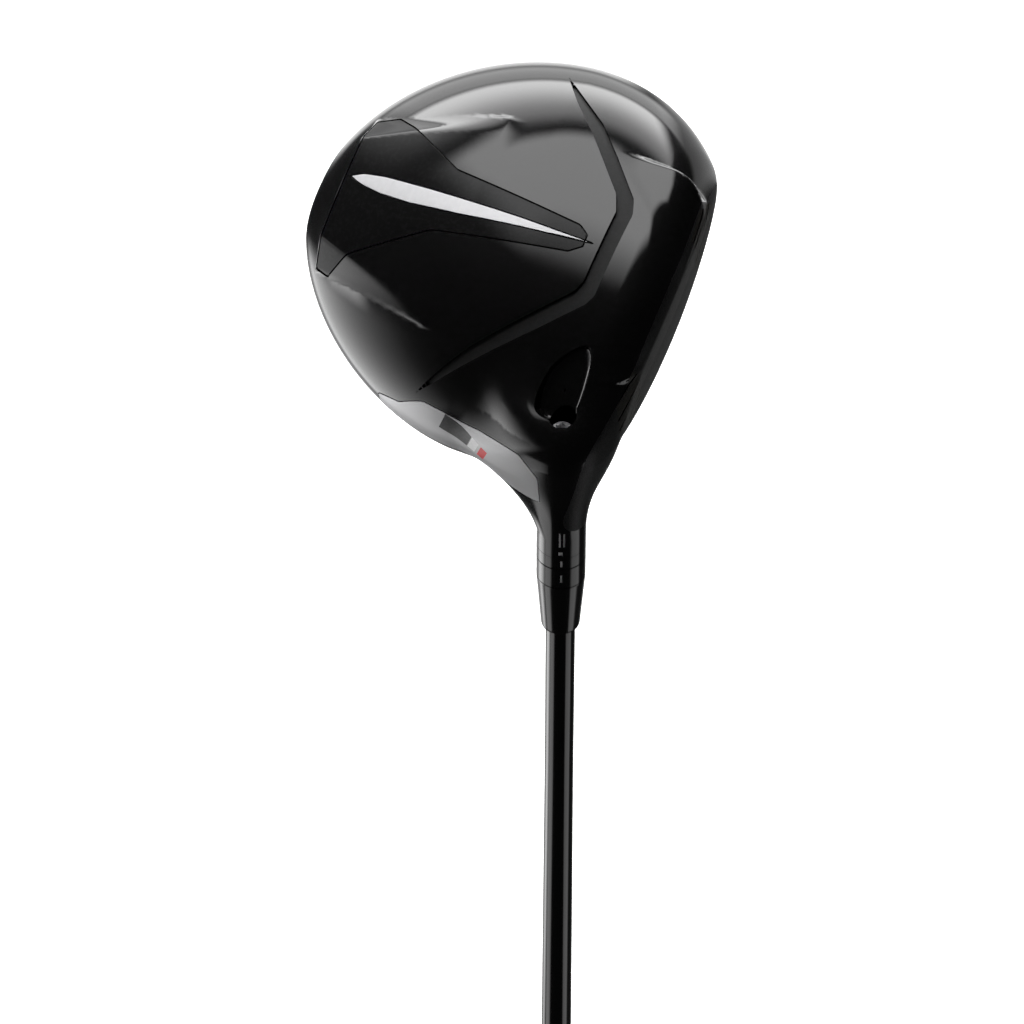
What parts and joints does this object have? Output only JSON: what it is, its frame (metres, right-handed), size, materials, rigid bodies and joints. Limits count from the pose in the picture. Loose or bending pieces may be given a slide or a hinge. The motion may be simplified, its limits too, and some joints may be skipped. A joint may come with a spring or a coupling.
{
  "type": "golf driver",
  "caption": "Golf driver with a hollow rounded titanium head, adjustable screw-held hosel sleeve, tapered graphite shaft and rubber grip.",
  "frame": {"origin": "centre of the butt end, on the shaft axis", "axes": "+Z along the shaft axis from the butt end to the head; +X out of the face, in the target direction; +Y to the toe and crown"},
  "size_m": [0.1164, 0.1145, 1.1931],
  "materials": {
    "grip_rubber": "matte",
    "tape": "matte paper tape",
    "shaft_lacquer": "gloss lacquer over graphite",
    "plug_plastic": "matte",
    "ferrule_plastic": "polished",
    "sleeve_anodised": "black anodised",
    "ring_anodised": "black anodised",
    "body_paint": "gloss black",
    "crown_paint": "gloss black",
    "face_titanium": "dark blasted titanium",
    "panel_satin": "satin black",
    "inlay_aluminium": "satin",
    "badge_grey": "satin grey",
    "bare_titanium": "as cast",
    "glue": "translucent glue",
    "screw_steel": "black nickel plated",
    "lock_nylon": "matte",
    "washer_rubber": "matte"
  },
  "bodies": {
    "shaft_unit": {"grip": "grip_rubber", "grip_cap": "grip_rubber", "grip_tape": "tape", "shaft": "shaft_lacquer", "tip_plug": "plug_plastic", "ferrule": "ferrule_plastic", "shaft_sleeve": "sleeve_anodised"},
    "ring": {"adapter_ring": "ring_anodised"},
    "head": {"head_body": "body_paint", "crown": "crown_paint", "face_plate": "face_titanium", "sole_panel": "panel_satin", "spear_inlay": "inlay_aluminium", "heel_badge": "badge_grey", "rear_weight_pad": "bare_titanium", "hot_melt_pad": "glue", "screw_washer": "washer_rubber"},
    "screw": {"hosel_screw": "screw_steel", "thread_patch": "lock_nylon", "screw_retainer": "plug_plastic"}
  },
  "joints": [
    {"name": "setting_turn", "type": "hinge", "parent": "shaft_unit", "child": "ring", "pos_m": [0, 0, 1.098], "axis": [0, 0, 1], "continuous": true},
    {"name": "head_release", "type": "slide", "parent": "ring", "child": "head", "axis": [0, 0, 1], "range_m": [0, 0.045]},
    {"name": "screw_turn", "type": "hinge", "parent": "head", "child": "screw", "pos_m": [0, 0, 1.14], "axis": [0, 0, 1], "continuous": true}
  ]
}
